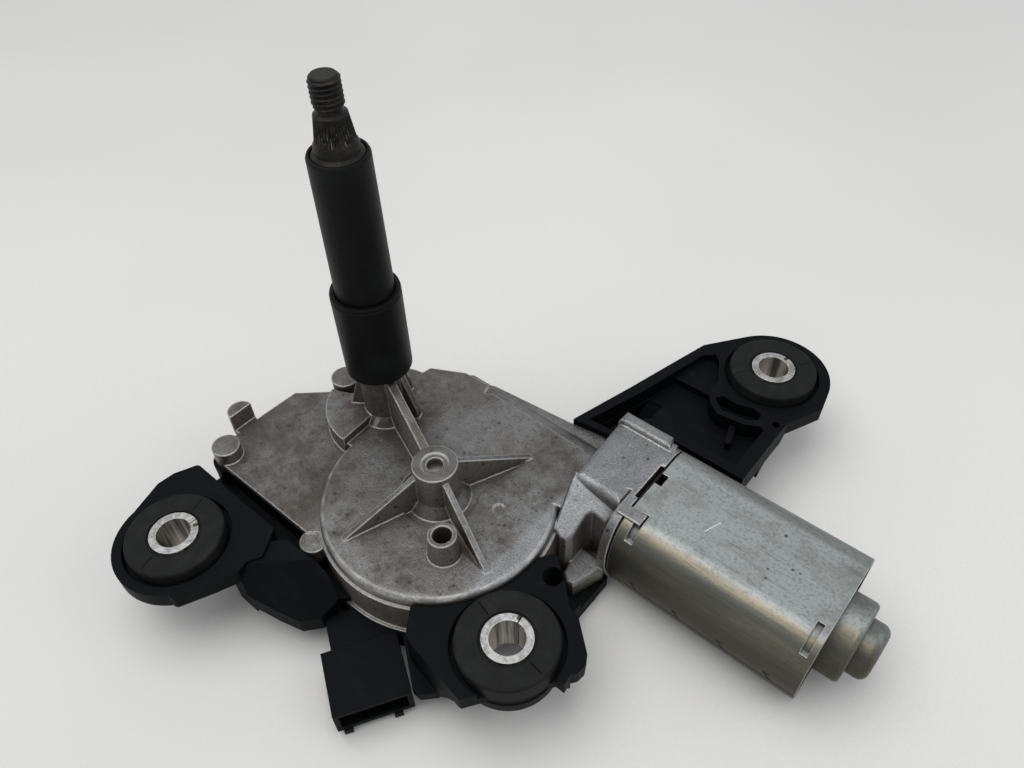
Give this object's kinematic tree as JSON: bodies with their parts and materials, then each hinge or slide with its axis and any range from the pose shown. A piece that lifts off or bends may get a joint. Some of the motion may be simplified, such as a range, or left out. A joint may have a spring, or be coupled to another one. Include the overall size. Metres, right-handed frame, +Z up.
{
  "type": "wiper motor",
  "caption": "Rear window wiper motor: cast gear housing with upright splined spindle, worm drive and linkage, steel motor can, black bracket with rubber grommets.",
  "frame": {"origin": "where the output spindle's axis meets the plane of the bracket cover's flat underside", "axes": "+Z up along the output spindle, +X along the motor towards its tail, +Y towards the rear grommet"},
  "size_m": [0.1986, 0.2045, 0.1417],
  "materials": {
    "cast_alloy": "as cast, oxidised",
    "black_moulding": "fine grain",
    "rubber": "matt",
    "zinc_steel": "zinc plated",
    "bright_steel": "turned",
    "black_steel": "black oxide",
    "tube_plastic": "smooth",
    "nylon": "moulded",
    "sinter": "sintered bronze",
    "copper": "enamelled copper",
    "ferrite": "ground ferrite",
    "carbon": "pressed carbon",
    "board": "laminate",
    "resin": "moulded resin",
    "tinned": "tinned"
  },
  "bodies": {
    "casing": {"gear_housing": "cast_alloy", "bracket_cover": "black_moulding", "cover_screws": "zinc_steel", "short_screws": "zinc_steel", "grommet_front": "rubber", "grommet_left": "rubber", "grommet_rear": "rubber", "bushing_front": "zinc_steel", "bushing_left": "zinc_steel", "bushing_rear": "zinc_steel", "connector_shell": "black_moulding", "connector_pins": "tinned", "contact_board": "board", "contact_springs": "copper", "spindle_bush_lower": "sinter", "spindle_bush_upper": "sinter", "wheel_axle": "bright_steel", "axle_clip": "black_steel", "ball_bearing": "bright_steel", "tip_bush": "sinter", "thrust_pad": "nylon", "motor_can": "zinc_steel", "can_seal": "rubber", "end_cap": "zinc_steel", "tail_bush": "sinter", "magnets": "ferrite", "brush_carrier": "resin", "brushes": "carbon", "spindle_sleeve": "tube_plastic", "stem_collar": "rubber", "earth_clip": "tinned"},
    "armature": {"armature_shaft": "bright_steel", "armature_core": "black_steel", "armature_windings": "copper", "commutator_hub": "resin", "commutator_bars": "copper"},
    "gear_wheel": {"worm_wheel": "nylon", "crank_pin": "bright_steel", "contact_disc": "copper"},
    "rocker": {"rocker_link": "bright_steel", "rocker_pin": "bright_steel"},
    "sector": {"sector_link": "bright_steel"},
    "spindle": {"output_spindle": "black_steel", "spindle_pinion": "bright_steel", "spindle_clip": "black_steel", "spindle_washer": "bright_steel"}
  },
  "joints": [
    {"name": "armature_spin", "type": "hinge", "parent": "casing", "child": "armature", "pos_m": [0.1, 0.0241, 0.0175], "axis": [1, 0, 0], "continuous": true},
    {"name": "wheel_turn", "type": "hinge", "parent": "casing", "child": "gear_wheel", "pos_m": [0.0369, -0.0149, 0], "axis": [0, 0, 1], "continuous": true},
    {"name": "spindle_turn", "type": "hinge", "parent": "casing", "child": "spindle", "pos_m": [0, 0, 0.05], "axis": [0, 0, 1], "range_deg": [0, 118]},
    {"name": "rocker_swing", "type": "hinge", "parent": "casing", "child": "rocker", "pos_m": [0, 0, 0.005], "axis": [0, 0, 1], "range_deg": [-0.2, 62.6]},
    {"name": "sector_fold", "type": "hinge", "parent": "rocker", "child": "sector", "pos_m": [-0.01655, -0.01293, 0.009], "axis": [0, 0, 1], "range_deg": [-50.8, 0.2]}
  ],
  "couplings": [
    {"joint": "wheel_turn", "follows": "armature_spin", "ratio": 0.015152},
    {"joint": "rocker_swing", "follows": "spindle_turn", "ratio": 0.5287},
    {"joint": "sector_fold", "follows": "spindle_turn", "ratio": -0.42845}
  ]
}
